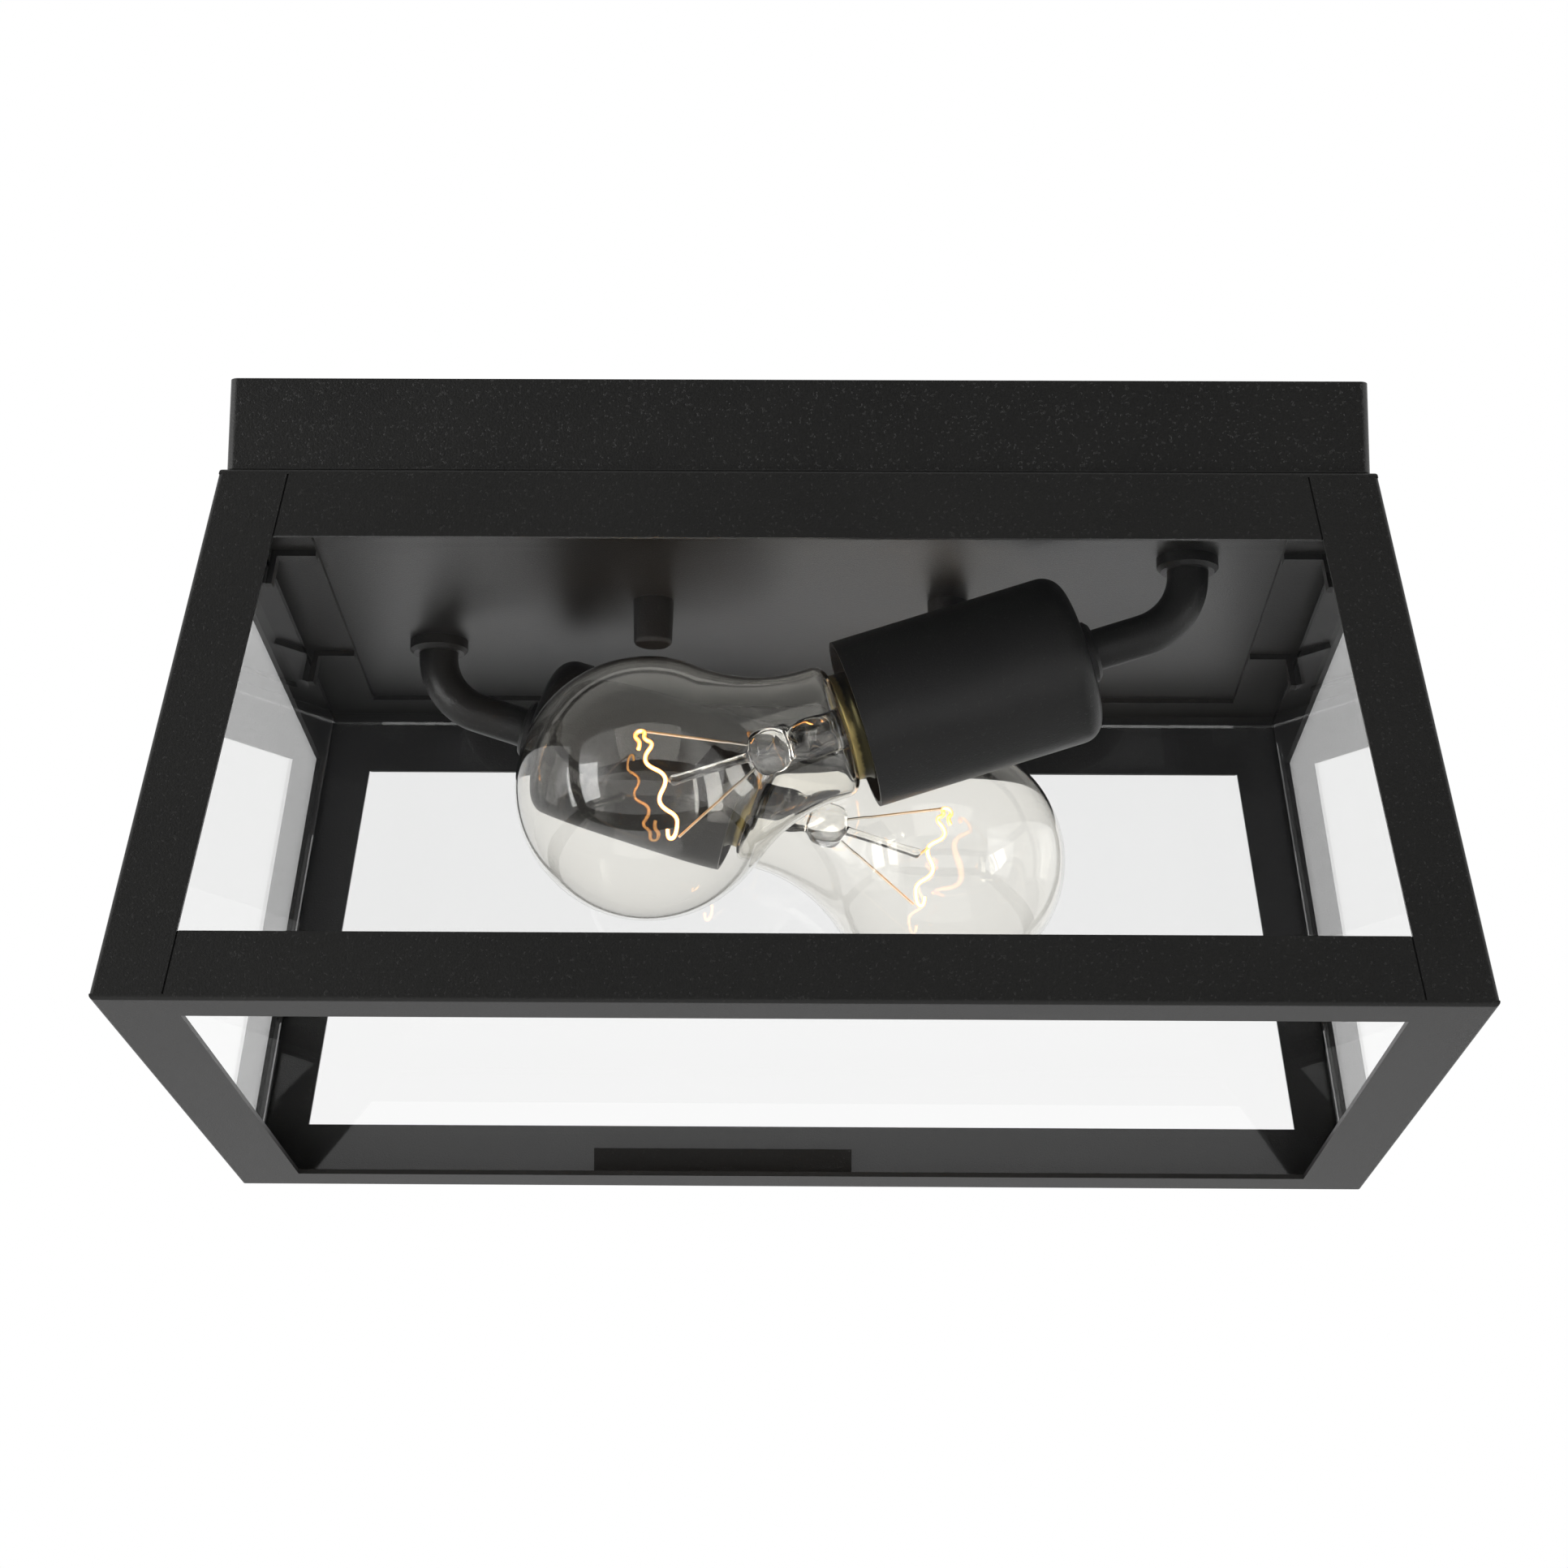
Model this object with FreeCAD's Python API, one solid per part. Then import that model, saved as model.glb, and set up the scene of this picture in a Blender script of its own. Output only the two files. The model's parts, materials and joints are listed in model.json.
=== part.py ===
"""Porch ceiling lantern with two lamps, in millimetres.

The origin is the middle of the mounting crossbar, in the plane of the ceiling. +Z points up
into the ceiling, X runs along the lantern and the lantern hangs below the origin.
Four sloping walls of folded angle and clear glass hang from a flat canopy pan; they are open
at the bottom, where the two lamps are changed by hand.
"""
import FreeCAD, Part
import math
import os

V = FreeCAD.Vector

# Frame of folded steel angle: a box whose walls lean in towards the ceiling
base_length = 288.0
base_width = 232.0
frame_height = 121.0
wall_inset = 19.3
angle_sheet = 1.2
post_leg = 14.8
top_rail_face = 16.0
bottom_rail_face = 15.0
top_flange = 14.4
bottom_flange = 16.6
arris_radius = 0.9
seam_width = 0.35
seam_depth = 0.5

# Canopy pan: a step in from the top of the frame on every side
canopy_step = 1.2
canopy_length = base_length - 2.0 * (wall_inset + canopy_step)
canopy_width = base_width - 2.0 * (wall_inset + canopy_step)
canopy_height = 21.2
canopy_sheet = 1.0
canopy_corner_radius = 1.6
canopy_edge_radius = 0.8

# Panes and what holds them
pane_thickness = 3.0
pane_clearance = 0.3
pane_top_gap = 3.0
pane_corner_gap = 3.0
clip_sheet = 1.4
clip_width = 4.0
clip_drop = 8.0
clip_spacing = 80.0
stop_length = 66.0
stop_height = 7.5
stop_sheet = 0.8
stop_offset = -20.0

# Socket arms, bent from round tube
arm_radius = 4.75
arm_wall = 1.0
arm_inset = 34.5
arm_x = canopy_length / 2.0 - arm_inset
arm_y = 34.0
arm_drop = 15.0
arm_reach = 26.0
arm_bend_radius = 15.0
arm_thread_length = 9.0
socket_tilt = 18.0
collar_radius = 7.1
collar_thickness = 3.2
collar_chamfer = 0.9
fit_clearance = 0.1
arm_nut_across_flats = 14.0
arm_nut_thickness = 4.0
arm_washer_radius = 8.6
washer_thickness = 1.0

# Socket cup and what is inside it
cup_radius = 19.5
cup_length = 54.0
cup_wall = 1.2
cup_end_radius = 5.0
body_radius = 17.0
body_length = 32.0
body_setback = 4.0
body_bore_radius = 14.9
body_bore_depth = 24.5
body_shoulder_radius = 12.0
body_shoulder_length = 5.0
shell_wall = 0.4
shell_length = 22.0
shell_setback = 1.0
contact_width = 5.0
contact_sheet = 0.4
contact_length = 16.0

# Bulb with its medium screw base; its own origin is where glass and brass meet
bulb_radius = 30.0
bulb_reach = 46.4
bulb_neck_radius = 15.4
bulb_neck_straight = 5.0
bulb_shoulder_radius = 3.2
bulb_glass_wall = 0.7
bulb_plug_radius = 11.2
bulb_plug_length = 8.0
bulb_proud = 3.0
thread_major_radius = 13.1
thread_depth = 0.8
thread_pitch = 3.63
thread_turns = 5
base_wall = 0.3
skirt_length = 2.2
insulator_length = 4.5
insulator_rim = 1.0
tip_radius = 4.8
tip_length = 2.4
tip_dome_share = 0.6
tip_gap = 0.3
shell_gap = 0.25
stem_tube_radius = 4.6
stem_flare_sheet = 0.9
stem_neck_radius = 3.3
stem_button_radius = 5.4
stem_button_reach = 22.0
stem_pinch_reach = 11.5
stem_button_length = 7.4
stem_button_edge_radius = 1.8
stem_rod_radius = 1.1
stem_rod_reach = 41.0
wire_radius = 0.3
wire_spread = 3.2
filament_reach = 43.6
filament_span = 26.0
filament_sag = 6.0
filament_zigzag = 1.6
filament_zigs = 8
filament_wire_radius = 0.25
filament_bend_radius = 0.5
front_bulb_roll_degrees = 0.0
rear_bulb_roll_degrees = 35.0

# Mounting crossbar for the ceiling box, its studs and the cap nuts
stud_spacing = 69.85
stud_to_box_screw = 9.525
box_screw_spacing = stud_spacing + 2.0 * stud_to_box_screw
box_slot_width = 4.8
box_slot_length = 11.0
crossbar_end_margin = 6.05
crossbar_length = box_screw_spacing + box_slot_length + 2.0 * crossbar_end_margin
crossbar_width = 20.0
crossbar_sheet = 1.6
crossbar_end_radius = 4.0
nipple_radius = 4.9
ground_x = 17.0
ground_head_radius = 4.6
ground_head_thickness = 2.4
ground_shank_radius = 2.3
ground_slot_width = 1.0
ground_slot_depth = 1.2
stud_radius = 2.08
stud_hole_clearance = 0.4
stud_engagement = 7.0
stud_nut_across_flats = 8.7
stud_nut_thickness = 3.2
cap_nut_radius = 4.8
cap_nut_taper = 0.3
cap_nut_length = 10.0
cap_nut_crown_radius = 1.2
cap_nut_thread_gap = 0.06
cap_nut_bore_depth = 8.2

# Levels, from the ceiling down
floor_level = -canopy_height
frame_top = floor_level
frame_bottom = frame_top - frame_height
lean = wall_inset / frame_height
sheet_across = angle_sheet * math.sqrt(1.0 + lean * lean)
pane_across = pane_thickness * math.sqrt(1.0 + lean * lean)
tilt = math.radians(socket_tilt)


# ---------------------------------------------------------------- common shapes

def half_length_at(z):
    """Outside of the end walls, from the middle, at a level."""
    return base_length / 2.0 - lean * (z - frame_bottom)


def half_width_at(z):
    """Outside of the front and rear walls, from the middle, at a level."""
    return base_width / 2.0 - lean * (z - frame_bottom)


def cylinder(radius, length, base):
    return Part.makeCylinder(radius, length, base)


def prism(points, travel):
    """A flat outline moved along a straight line."""
    wire = Part.makePolygon(points + [points[0]])
    return Part.Face(wire).extrude(travel)


def spin(edges):
    """A closed half section in the XZ plane turned about Z."""
    face = Part.Face(Part.Wire(edges))
    return face.revolve(V(0, 0, 0), V(0, 0, 1), 360)


def spin_points(pairs):
    """The same, for a half section with straight sides, given as radius and height."""
    points = [V(r, 0, z) for r, z in pairs]
    return spin(Part.makePolygon(points + [points[0]]).Edges)


def hexagon(across_flats, thickness, centre):
    corner = across_flats / 2.0 / math.cos(math.radians(30))
    points = []
    for i in range(6):
        turn = math.radians(60 * i)
        points.append(centre + V(corner * math.cos(turn), corner * math.sin(turn), 0))
    return prism(points, V(0, 0, thickness))


def fuse(shapes):
    return shapes[0].fuse(shapes[1:]).removeSplitter()


def solid_of(shape):
    return shape.Solids[0] if len(shape.Solids) == 1 else shape


def half_turn(shape):
    """The same piece on the other lamp, half a turn about the middle of the lantern."""
    return shape.copy().rotate(V(0, 0, 0), V(0, 0, 1), 180)


def rounded_path(points, radius):
    """Straight runs through the points, joined by tangent arcs."""
    edges = []
    start = points[0]
    for i in range(1, len(points) - 1):
        corner = points[i]
        back = (points[i - 1] - corner).normalize()
        ahead = (points[i + 1] - corner).normalize()
        half_angle = back.getAngle(ahead) / 2.0
        reach = radius / math.tan(half_angle)
        middle = (back + ahead).normalize() * (radius / math.sin(half_angle) - radius)
        arc_start = corner + back * reach
        arc_end = corner + ahead * reach
        edges.append(Part.LineSegment(start, arc_start).toShape())
        edges.append(Part.Arc(arc_start, corner + middle, arc_end).toShape())
        start = arc_end
    edges.append(Part.LineSegment(start, points[-1]).toShape())
    return Part.Wire(edges)


def bent_rod(path, radius):
    start = path.Edges[0].valueAt(path.Edges[0].FirstParameter)
    heading = path.Edges[0].tangentAt(path.Edges[0].FirstParameter)
    section = Part.Wire([Part.Circle(start, heading, radius).toShape()])
    return path.makePipeShell([section], True, False)


# ---------------------------------------------------------------- frame

def corner_post(side_x, side_y):
    """An angle whose two legs follow the sloping arris from flange to flange."""
    low = frame_bottom + angle_sheet
    high = frame_top - angle_sheet
    x0 = half_length_at(low)
    y0 = half_width_at(low)
    section = Part.makePolygon([
        V(-x0, -y0, low),
        V(-x0 + post_leg, -y0, low),
        V(-x0 + post_leg, -y0 + sheet_across, low),
        V(-x0 + sheet_across, -y0 + sheet_across, low),
        V(-x0 + sheet_across, -y0 + post_leg, low),
        V(-x0, -y0 + post_leg, low),
        V(-x0, -y0, low)])
    rise = high - low
    post = Part.Face(section).extrude(V(lean * rise, lean * rise, rise))
    arris = [e for e in post.Edges if is_outer_arris(e, x0, y0, low)]
    post = post.makeFillet(arris_radius, arris)
    if side_x > 0:
        post = post.mirror(V(0, 0, 0), V(1, 0, 0))
    if side_y > 0:
        post = post.mirror(V(0, 0, 0), V(0, 1, 0))
    return solid_of(post)


def is_outer_arris(edge, x0, y0, low):
    """True for the one long edge that starts at the outside corner."""
    touches = any(v.Point.isEqual(V(-x0, -y0, low), 0.01) for v in edge.Vertexes)
    return touches and edge.BoundBox.ZLength > post_leg


def rail(face_reach, end_reach, flange_level, grow, face_height, flange):
    """A rail seen from the front: face between the posts, flange mitred to the corners.

    grow is +1 for a flange at the bottom of its face and -1 for one at the top.
    """
    level = flange_level
    bend = level + grow * angle_sheet
    edge = level + grow * face_height
    half = end_reach(frame_bottom)
    outline = [
        V(-half, -face_reach(level), level),
        V(-half, -face_reach(level) + flange, level),
        V(-half, -face_reach(level) + flange, bend),
        V(-half, -face_reach(bend) + sheet_across, bend),
        V(-half, -face_reach(edge) + sheet_across, edge),
        V(-half, -face_reach(edge), edge)]
    bar = prism(outline, V(2 * half, 0, 0))
    outside = face_reach(frame_bottom)
    mitre = prism([
        V(-half, -outside, frame_bottom),
        V(half, -outside, frame_bottom),
        V(half - outside / 2.0, -outside / 2.0, frame_bottom),
        V(-half + outside / 2.0, -outside / 2.0, frame_bottom)],
        V(0, 0, frame_height))
    bar = bar.common(mitre)
    bar = bar.cut(beside_rail(face_reach, end_reach, grow, post_leg))
    bar = solid_of(bar.removeSplitter())
    arris = [e for e in bar.Edges if is_rail_arris(e, face_reach(level), level)]
    bar = bar.makeFillet(arris_radius, arris)
    seam = beside_rail(face_reach, end_reach, grow, post_leg + seam_width)
    return solid_of(bar.cut(seam.common(wall_skin(face_reach, half))))


def beside_rail(face_reach, end_reach, grow, setback):
    """All that lies beyond a rail's face at both ends, down to its flange."""
    low = frame_bottom + angle_sheet if grow > 0 else frame_bottom
    high = frame_top if grow > 0 else frame_top - angle_sheet
    outside = face_reach(frame_bottom)
    far = end_reach(frame_bottom) + post_leg
    ends = []
    for side in (-1, 1):
        ends.append(prism([
            V(side * (end_reach(low) - setback), -outside, low),
            V(side * far, -outside, low),
            V(side * far, -outside, high),
            V(side * (end_reach(high) - setback), -outside, high)],
            V(0, outside, 0)))
    return Part.makeCompound(ends)


def wall_skin(face_reach, half):
    """The outermost layer of a sloping wall, as deep as the seams beside the posts."""
    low = -face_reach(frame_bottom)
    high = -face_reach(frame_top)
    return prism([
        V(-half, low, frame_bottom),
        V(-half, low + seam_depth, frame_bottom),
        V(-half, high + seam_depth, frame_top),
        V(-half, high, frame_top)],
        V(2 * half, 0, 0))


def is_rail_arris(edge, reach, level):
    """True for the outside bend line between face and flange."""
    box = edge.BoundBox
    flat = box.ZLength < 0.01 and box.YLength < 0.01 and box.XLength > post_leg
    return flat and abs(box.ZMin - level) < 0.01 and abs(box.YMin + reach) < 0.01


def four_rails(flange_level, grow, face_height, flange):
    front = rail(half_width_at, half_length_at, flange_level, grow, face_height, flange)
    left = rail(half_length_at, half_width_at, flange_level, grow, face_height, flange)
    left.rotate(V(0, 0, 0), V(0, 0, 1), -90)
    return {"front": front, "rear": half_turn(front), "left": left, "right": half_turn(left)}


# ---------------------------------------------------------------- canopy

def canopy_pan():
    """A folded pan, open to the ceiling, whose floor carries frame, arms and cap nuts."""
    corner = V(-canopy_length / 2.0, -canopy_width / 2.0, floor_level)
    block = Part.makeBox(canopy_length, canopy_width, canopy_height, corner)
    upright = [e for e in block.Edges if e.BoundBox.ZLength > canopy_height / 2.0]
    block = block.makeFillet(canopy_corner_radius, upright)
    rim = [e for e in block.Edges if abs(e.BoundBox.ZMax - floor_level) < 0.01]
    block = block.makeFillet(canopy_edge_radius, rim)
    inner_corner = corner + V(canopy_sheet, canopy_sheet, canopy_sheet)
    hollow = Part.makeBox(
        canopy_length - 2 * canopy_sheet, canopy_width - 2 * canopy_sheet,
        canopy_height, inner_corner)
    pan = block.cut(hollow)
    for x in (-stud_spacing / 2.0, stud_spacing / 2.0):
        base = V(x, 0, floor_level - canopy_sheet)
        pan = pan.cut(cylinder(stud_radius + stud_hole_clearance, canopy_height, base))
    for side in (-1, 1):
        base = V(side * arm_x, -side * arm_y, floor_level - canopy_sheet)
        pan = pan.cut(cylinder(arm_radius + fit_clearance, canopy_height, base))
    return solid_of(pan)


# ---------------------------------------------------------------- panes

def pane_outside(face_reach, z):
    """Where the outer surface of a pane stands at a level, behind posts and rails."""
    return face_reach(z) - sheet_across - pane_clearance


def pane_inside(face_reach, z):
    return pane_outside(face_reach, z) - pane_across


def wall_pane(face_reach, end_reach, end_setback):
    """A sheet of glass that stands on the bottom flange and leans with its wall."""
    low = frame_bottom + angle_sheet
    high = frame_top - angle_sheet - pane_top_gap
    half = end_reach(frame_bottom)
    outline = [
        V(-half, -pane_outside(face_reach, low), low),
        V(-half, -pane_inside(face_reach, low), low),
        V(-half, -pane_inside(face_reach, high), high),
        V(-half, -pane_outside(face_reach, high), high)]
    slab = prism(outline, V(2 * half, 0, 0))
    reach = face_reach(frame_bottom)
    trim = prism([
        V(-end_reach(low) + end_setback, -reach, low),
        V(end_reach(low) - end_setback, -reach, low),
        V(end_reach(high) - end_setback, -reach, high),
        V(-end_reach(high) + end_setback, -reach, high)],
        V(0, reach, 0))
    return solid_of(slab.common(trim))


def four_panes():
    """Front and rear panes run to the corners; the end panes stop short of them."""
    long_setback = sheet_across + pane_clearance
    short_setback = long_setback + pane_across + pane_corner_gap
    front = wall_pane(half_width_at, half_length_at, long_setback)
    left = wall_pane(half_length_at, half_width_at, short_setback)
    left.rotate(V(0, 0, 0), V(0, 0, 1), -90)
    return {"front": front, "rear": half_turn(front), "left": left, "right": half_turn(left)}


def pane_clip(face_reach, along):
    """A bent strip: one leg lies under the top flange, the other holds the pane back."""
    top = frame_top - angle_sheet
    foot = top - clip_drop
    bend = top - clip_sheet
    x = along - clip_width / 2.0
    inner_edge = -face_reach(frame_top) + top_flange
    outline = [
        V(x, -pane_inside(face_reach, top), top),
        V(x, inner_edge, top),
        V(x, inner_edge, bend),
        V(x, -pane_inside(face_reach, bend) + clip_sheet, bend),
        V(x, -pane_inside(face_reach, foot) + clip_sheet, foot),
        V(x, -pane_inside(face_reach, foot), foot)]
    return prism(outline, V(clip_width, 0, 0))


def pane_clips():
    """Two clips at the head of each pane."""
    clips = []
    for along in (-clip_spacing / 2.0, clip_spacing / 2.0):
        front = pane_clip(half_width_at, along)
        left = pane_clip(half_length_at, along)
        left.rotate(V(0, 0, 0), V(0, 0, 1), -90)
        clips += [front, half_turn(front), left, half_turn(left)]
    return Part.makeCompound(clips)


def rear_pane_stop():
    """A flat strip on the rear flange that keeps the foot of the rear pane in its place."""
    low = frame_bottom + angle_sheet
    top = low + stop_height
    x = stop_offset - stop_length / 2.0
    outline = [
        V(x, pane_inside(half_width_at, low), low),
        V(x, pane_inside(half_width_at, low) - stop_sheet, low),
        V(x, pane_inside(half_width_at, top) - stop_sheet, top),
        V(x, pane_inside(half_width_at, top), top)]
    return prism(outline, V(stop_length, 0, 0))


# ---------------------------------------------------------------- arms

def arm_corner():
    """Where the two straight runs of the front arm would meet."""
    return V(arm_x, -arm_y, floor_level - arm_drop)


def lamp_direction():
    """The way the front lamp points: towards the left end and downwards."""
    return V(-math.cos(tilt), 0, -math.sin(tilt))


def cup_back():
    return arm_corner() + lamp_direction() * arm_reach


def cup_mouth():
    return cup_back() + lamp_direction() * cup_length


def in_front_cup(shape):
    """Moves a piece drawn about +Z, with the cup's mouth at the origin, to the front cup."""
    placed = shape.copy()
    placed.rotate(V(0, 0, 0), V(0, 1, 0), -90 - socket_tilt)
    placed.translate(cup_mouth())
    return placed


def socket_arm():
    """Bent tube: threaded through the canopy at the top and into the socket below."""
    top = V(arm_x, -arm_y, floor_level + canopy_sheet + arm_thread_length)
    inner_end = -body_setback - body_length
    end = cup_mouth() + lamp_direction() * inner_end
    path = rounded_path([top, arm_corner(), end], arm_bend_radius)
    return solid_of(bent_rod(path, arm_radius).cut(bent_rod(path, arm_radius - arm_wall)))


def collar_ring():
    """A turned ring on the tube, its back at z = 0, bevelled where it faces away."""
    blank = cylinder(collar_radius, collar_thickness, V(0, 0, 0))
    blank = blank.makeChamfer(collar_chamfer, [e for e in blank.Edges if is_circle_at(e, collar_thickness)])
    return blank.cut(cylinder(arm_radius + fit_clearance, 3 * collar_thickness, V(0, 0, -collar_thickness)))


def is_circle_at(edge, z):
    box = edge.BoundBox
    return box.ZLength < 0.01 and abs(box.ZMin - z) < 0.01


def arm_flange():
    ring = collar_ring()
    ring.rotate(V(0, 0, 0), V(1, 0, 0), 180)
    ring.translate(V(arm_x, -arm_y, floor_level))
    return solid_of(ring)


def cup_collar():
    ring = collar_ring()
    ring.rotate(V(0, 0, 0), V(1, 0, 0), 180)
    ring.translate(V(0, 0, -cup_length))
    return solid_of(in_front_cup(ring))


def pair(shape):
    """A piece and its twin on the other lamp, as one group."""
    return Part.makeCompound([shape, half_turn(shape)])


def arm_lock_washer():
    base = V(arm_x, -arm_y, floor_level + canopy_sheet)
    disc = cylinder(arm_washer_radius, washer_thickness, base)
    return disc.cut(cylinder(arm_radius + fit_clearance, canopy_height, floor_below(base)))


def arm_lock_nut():
    base = V(arm_x, -arm_y, floor_level + canopy_sheet + washer_thickness)
    nut = hexagon(arm_nut_across_flats, arm_nut_thickness, base)
    return nut.cut(cylinder(arm_radius + fit_clearance, canopy_height, floor_below(base)))


def floor_below(base):
    return base - V(0, 0, canopy_sheet)


# ---------------------------------------------------------------- cup and socket

def socket_cup():
    """Spun cup with a rounded closed end, open towards the bulb."""
    block = cylinder(cup_radius, cup_length, V(0, 0, -cup_length))
    back = [e for e in block.Edges if is_circle_at(e, -cup_length)]
    block = block.makeFillet(cup_end_radius, back)
    inner_radius = cup_radius - cup_wall
    hollow = cylinder(inner_radius, cup_length, V(0, 0, -cup_length + cup_wall))
    foot = [e for e in hollow.Edges if is_circle_at(e, -cup_length + cup_wall)]
    hollow = hollow.makeFillet(cup_end_radius - cup_wall, foot)
    hole = cylinder(arm_radius + fit_clearance, 3 * cup_wall, V(0, 0, -cup_length - cup_wall))
    return solid_of(in_front_cup(block.cut(hollow).cut(hole)))


def socket_body():
    """Glazed porcelain body: a deep bore for the screw shell and a shoulder on the tube."""
    mouth = -body_setback
    back = mouth - body_length
    neck = back + body_shoulder_length
    floor = mouth - body_bore_depth
    body = spin_points([
        (0, back), (body_shoulder_radius, back), (body_shoulder_radius, neck),
        (body_radius, neck), (body_radius, mouth), (body_bore_radius, mouth),
        (body_bore_radius, floor), (0, floor)])
    return solid_of(in_front_cup(body))


def thread_ripple(radius, first, turns, outward):
    """Edges of a rolled screw thread as seen in section, from the first crest line down."""
    edges = []
    z = first
    for i in range(turns):
        crest = V(radius + outward * thread_depth, 0, z - thread_pitch / 2.0)
        edges.append(Part.Arc(V(radius, 0, z), crest, V(radius, 0, z - thread_pitch)).toShape())
        z -= thread_pitch
    return edges


def line(r0, z0, r1, z1):
    return Part.LineSegment(V(r0, 0, z0), V(r1, 0, z1)).toShape()


def screw_shell():
    """Rolled brass shell that takes the bulb's screw base."""
    inner = thread_major_radius + shell_gap
    outer = inner + shell_wall
    top = -body_setback - shell_setback
    rolled = thread_turns * thread_pitch
    low = top - shell_length
    start = top - (shell_length - rolled) / 2.0
    end = start - rolled
    edges = [line(inner, low, inner, top), line(inner, top, outer, top), line(outer, top, outer, start)]
    edges += thread_ripple(outer, start, thread_turns, 1)
    edges += [line(outer, end, outer, low), line(outer, low, inner, low)]
    return solid_of(in_front_cup(spin(edges)))


def centre_contact():
    """Brass spring tongue on the floor of the socket, bent up to just under the bulb's tip."""
    floor = -body_setback - body_bore_depth
    tip = bulb_proud - base_length_of_bulb() - tip_gap
    half = contact_length / 2.0
    rise = tip - floor
    outline = [
        V(-half, 0, floor), V(-half / 2.0, 0, floor), V(half / 2.0, 0, tip - contact_sheet),
        V(half, 0, tip - contact_sheet), V(half, 0, tip), V(half / 2.0 - rise / 4.0, 0, tip),
        V(-half / 2.0 - rise / 4.0, 0, floor + contact_sheet), V(-half, 0, floor + contact_sheet)]
    strip = prism([p - V(0, contact_width / 2.0, 0) for p in outline], V(0, contact_width, 0))
    return solid_of(in_front_cup(strip))


# ---------------------------------------------------------------- bulb

def base_length_of_bulb():
    """From the joint of glass and brass to the end of the solder tip."""
    return skirt_length + thread_turns * thread_pitch + insulator_length + tip_length - base_wall


def bulb_outline(shrink):
    """Half section of the glass from neck to crown, as edges, moved inwards by shrink.

    Neck and ball are joined by a hollow curve tangent to both.
    """
    neck = bulb_neck_radius
    rise = bulb_reach - bulb_neck_straight
    hollow = (rise * rise + neck * neck - bulb_radius * bulb_radius) / (2.0 * (bulb_radius - neck))
    centre = V(neck + hollow, 0, bulb_neck_straight)
    ball = V(0, 0, bulb_reach)
    towards = (ball - centre).normalize()
    curve = hollow + shrink
    round_radius = bulb_radius - shrink
    joint = centre + towards * curve
    middle_way = (V(-1, 0, 0) + towards).normalize()
    start = V(neck - shrink, 0, bulb_neck_straight)
    crown = V(0, 0, bulb_reach + round_radius)
    side = (crown - ball + (joint - ball)).normalize() * round_radius
    return [
        Part.Arc(start, centre + middle_way * curve, joint).toShape(),
        Part.Arc(joint, ball + side, crown).toShape()]


def bulb_glass():
    """Blown envelope, open at the foot of its neck where the stem is sealed in."""
    foot = -bulb_plug_length
    top = bulb_reach + bulb_radius
    wall = bulb_glass_wall
    edges = [line(bulb_plug_radius - wall, foot, bulb_plug_radius, foot), line(0, top, 0, top - wall)]
    edges += bulb_shoulder(0.0) + bulb_outline(0.0)
    edges += bulb_shoulder(wall) + bulb_outline(wall)
    return spin(Part.__sortEdges__(edges))


def bulb_shoulder(shrink):
    """Half section from the plug in the brass out to the neck, moved inwards by shrink."""
    plug = bulb_plug_radius - shrink
    neck = bulb_neck_radius - shrink
    bend = bulb_neck_radius - bulb_shoulder_radius
    round_radius = bulb_shoulder_radius - shrink
    slant = round_radius * math.sqrt(0.5)
    middle = V(bend + slant, 0, bulb_shoulder_radius - slant)
    start = V(bend, 0, shrink)
    end = V(neck, 0, bulb_shoulder_radius)
    return [
        line(plug, -bulb_plug_length, plug, shrink), line(plug, shrink, bend, shrink),
        Part.Arc(start, middle, end).toShape(),
        line(neck, bulb_shoulder_radius, neck, bulb_neck_straight)]


def bulb_base():
    """Rolled brass screw base: a smooth skirt below the glass, then the thread."""
    root = thread_major_radius - thread_depth
    inner = root - base_wall
    low = -skirt_length - thread_turns * thread_pitch
    lip = low + base_wall
    edges = [line(inner, 0, root, 0), line(root, 0, root, -skirt_length)]
    edges += thread_ripple(root, -skirt_length, thread_turns, 1)
    edges += [line(root, low, tip_radius, low), line(tip_radius, low, tip_radius, lip)]
    edges += [line(tip_radius, lip, inner, lip), line(inner, lip, inner, 0)]
    return spin(Part.__sortEdges__(edges))


def insulator_top():
    return -skirt_length - thread_turns * thread_pitch


def bulb_insulator():
    """Black glass cone between the brass base and its centre tip."""
    top = insulator_top()
    low = top - insulator_length
    wide = thread_major_radius - thread_depth - base_wall
    return spin_points([(0, top), (wide, top), (tip_radius + insulator_rim, low), (0, low)])


def bulb_tip():
    """Domed solder contact."""
    top = insulator_top() - insulator_length
    low = top - tip_length + base_wall
    blank = cylinder(tip_radius, top - low, V(0, 0, low))
    dome = [e for e in blank.Edges if is_circle_at(e, low)]
    return blank.makeFillet((top - low) * tip_dome_share, dome)


def bulb_stem():
    """Drawn glass stem: flare at the foot, tube, pinch, button and the rod on top of it."""
    foot = -bulb_plug_length
    flare = bulb_plug_radius - bulb_glass_wall
    tube = stem_tube_radius
    neck = stem_neck_radius
    button_low = stem_button_reach - stem_button_length
    top = stem_rod_reach
    turned = spin_points([
        (0, foot), (flare, foot), (flare, foot + stem_flare_sheet), (tube, foot + flare - tube),
        (tube, stem_pinch_reach - tube + neck), (neck, stem_pinch_reach), (neck, button_low),
        (stem_button_radius, button_low), (stem_button_radius, stem_button_reach),
        (stem_rod_radius, stem_button_reach), (stem_rod_radius, top), (0, top)])
    rims = [e for e in turned.Edges if is_button_rim(e, (button_low, stem_button_reach))]
    return turned.makeFillet(stem_button_edge_radius, rims)


def is_button_rim(edge, heights):
    box = edge.BoundBox
    wide = box.XLength > 2 * stem_button_radius - wire_radius
    return wide and any(is_circle_at(edge, z) for z in heights)


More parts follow.
